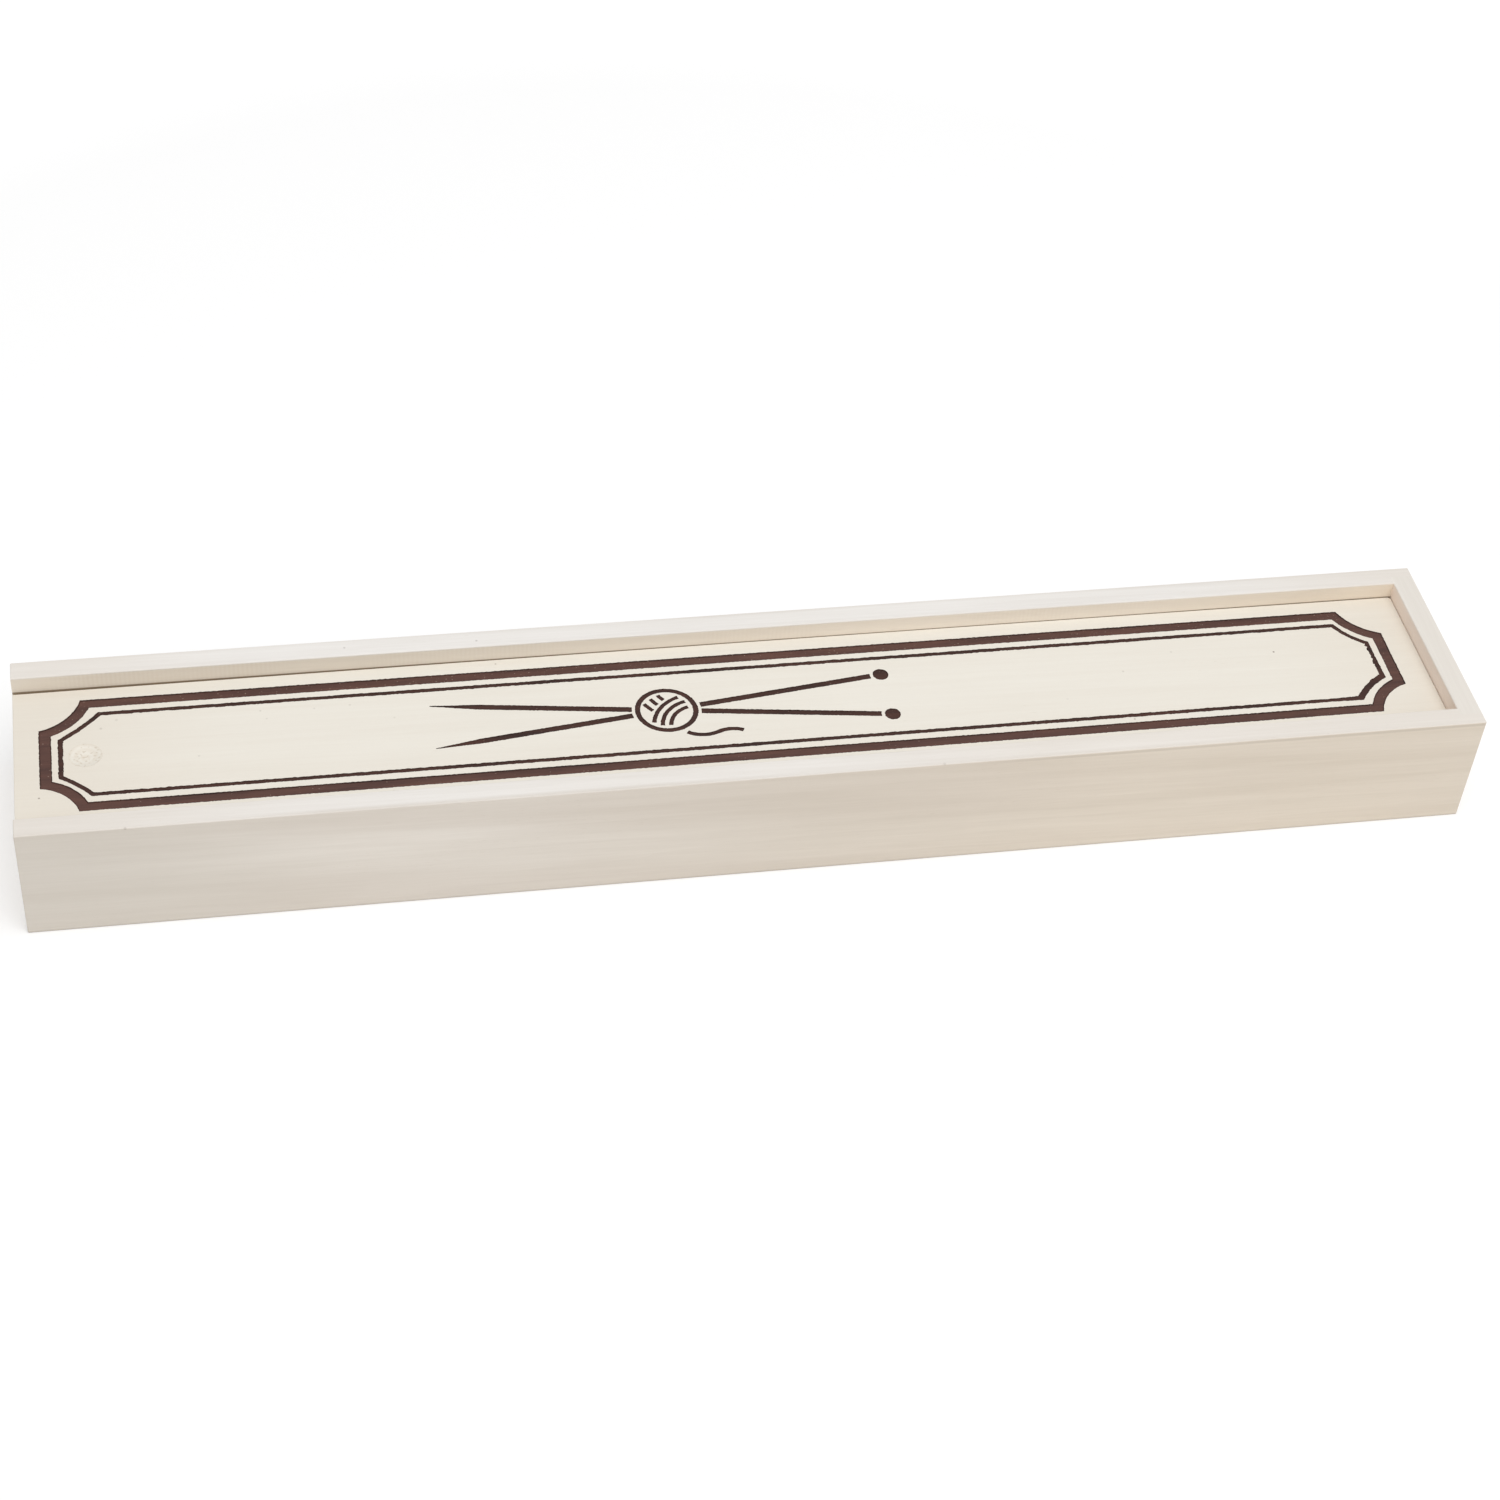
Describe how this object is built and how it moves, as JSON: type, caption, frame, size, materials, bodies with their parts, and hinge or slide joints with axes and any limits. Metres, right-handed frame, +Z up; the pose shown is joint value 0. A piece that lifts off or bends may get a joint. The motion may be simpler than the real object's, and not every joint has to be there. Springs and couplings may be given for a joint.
{
  "type": "knitting needle case box",
  "caption": "Long flat wooden case with a grooved sliding lid, a round thumb recess and a sunken border with scooped corners, for straight knitting needles.",
  "frame": {"origin": "middle of the underside, on the surface that the case stands on", "axes": "+X along the case, from the open end, where the lid comes out, to the closed end; +Y across it, from the front wall to the rear wall; +Z up"},
  "size_m": [0.43, 0.072, 0.0385],
  "materials": {
    "case_wood": "whitewashed, sanded, matt",
    "lid_wood": "whitewashed, sanded, matt, with a burnt-in brown border",
    "floor_wood": "thin panel, sanded, matt"
  },
  "bodies": {
    "case": {"front_wall": "case_wood", "rear_wall": "case_wood", "closed_end_wall": "case_wood", "open_end_wall": "case_wood", "floor_panel": "floor_wood"},
    "lid": {"sliding_lid": "lid_wood"}
  },
  "joints": [
    {"name": "lid_slide", "type": "slide", "parent": "case", "child": "lid", "axis": [-1, 0, 0], "range_m": [0, 0.43]}
  ]
}
